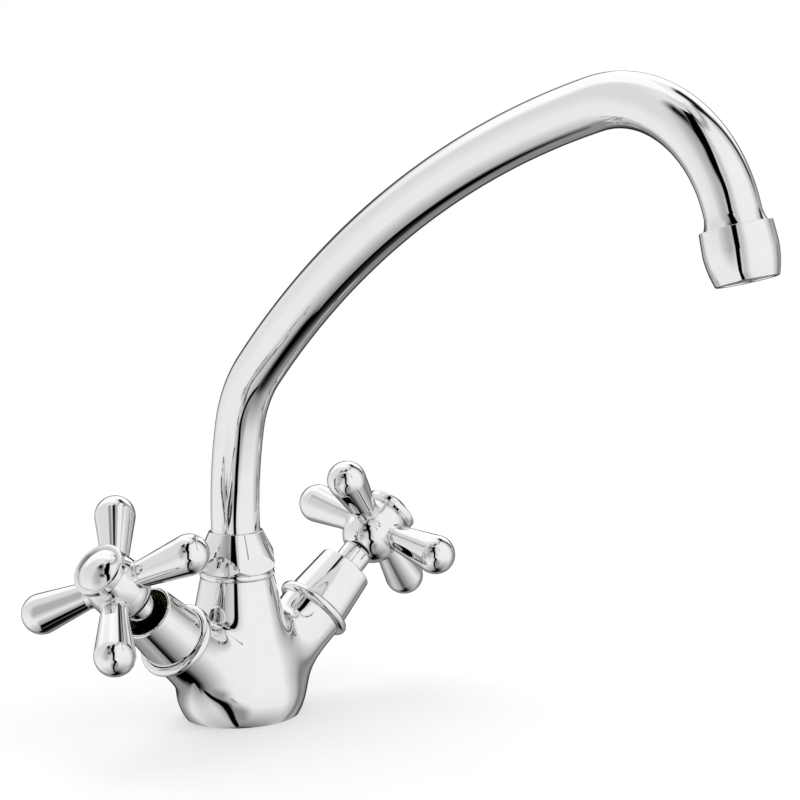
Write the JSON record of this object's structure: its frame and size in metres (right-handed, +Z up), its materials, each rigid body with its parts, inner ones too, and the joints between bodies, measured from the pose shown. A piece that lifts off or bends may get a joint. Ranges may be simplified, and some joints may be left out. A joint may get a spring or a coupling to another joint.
{
  "type": "two handle kitchen faucet",
  "caption": "Deck-mounted mixer tap with an arched swivelling spout, two angled valve arms and cross handles with teardrop spokes.",
  "frame": {"origin": "centre of the foot's underside, on the sink deck", "axes": "+Z up along the tap's axis; the spout at rest points to -Y, towards the user; the hot valve is on -X and the cold valve on +X"},
  "size_m": [0.1782, 0.2797, 0.2398],
  "materials": {
    "chromed_brass": "mirror-polished chrome plate on brass",
    "plain_brass": "turned",
    "spring_steel": "bright turned stainless steel",
    "valve_ceramic": "lapped alumina",
    "seal_rubber": "matt black nitrile rubber",
    "white_plastic": "moulded acetal",
    "grey_plastic": "moulded acetal"
  },
  "bodies": {
    "tap_body": {"body_casting": "chromed_brass", "base_seal": "seal_rubber", "spout_nut": "chromed_brass", "slip_ring": "white_plastic", "thrust_washer": "white_plastic", "hot_headwork_body": "plain_brass", "hot_seat_seal": "seal_rubber", "hot_fixed_disc": "valve_ceramic", "hot_shroud": "chromed_brass", "cold_headwork_body": "plain_brass", "cold_seat_seal": "seal_rubber", "cold_fixed_disc": "valve_ceramic", "cold_shroud": "chromed_brass"},
    "spout": {"spout_tube": "chromed_brass", "spout_spigot": "plain_brass", "spout_o_rings": "seal_rubber", "aerator_nipple": "chromed_brass", "aerator_housing": "chromed_brass", "aerator_washer": "seal_rubber", "aerator_insert": "grey_plastic"},
    "hot_handle": {"hot_spindle": "plain_brass", "hot_spindle_clip": "spring_steel", "hot_driven_disc": "valve_ceramic", "hot_handle_hub": "chromed_brass", "hot_handle_screw": "spring_steel", "hot_index_cap": "chromed_brass", "hot_spoke_1": "chromed_brass", "hot_spoke_2": "chromed_brass", "hot_spoke_3": "chromed_brass", "hot_spoke_4": "chromed_brass"},
    "cold_handle": {"cold_spindle": "plain_brass", "cold_spindle_clip": "spring_steel", "cold_driven_disc": "valve_ceramic", "cold_handle_hub": "chromed_brass", "cold_handle_screw": "spring_steel", "cold_index_cap": "chromed_brass", "cold_spoke_1": "chromed_brass", "cold_spoke_2": "chromed_brass", "cold_spoke_3": "chromed_brass", "cold_spoke_4": "chromed_brass"}
  },
  "joints": [
    {"name": "spout_swivel", "type": "hinge", "parent": "tap_body", "child": "spout", "pos_m": [0, 0, 0.05], "axis": [0, 0, 1], "continuous": true},
    {"name": "hot_valve_turn", "type": "hinge", "parent": "tap_body", "child": "hot_handle", "pos_m": [-0.06387, -0.00807, 0.06116], "axis": [-0.7488, -0.0946, 0.6561], "range_deg": [0, 180]},
    {"name": "cold_valve_turn", "type": "hinge", "parent": "tap_body", "child": "cold_handle", "pos_m": [0.06387, -0.00807, 0.06116], "axis": [0.7488, -0.0946, 0.6561], "range_deg": [0, 180]}
  ]
}
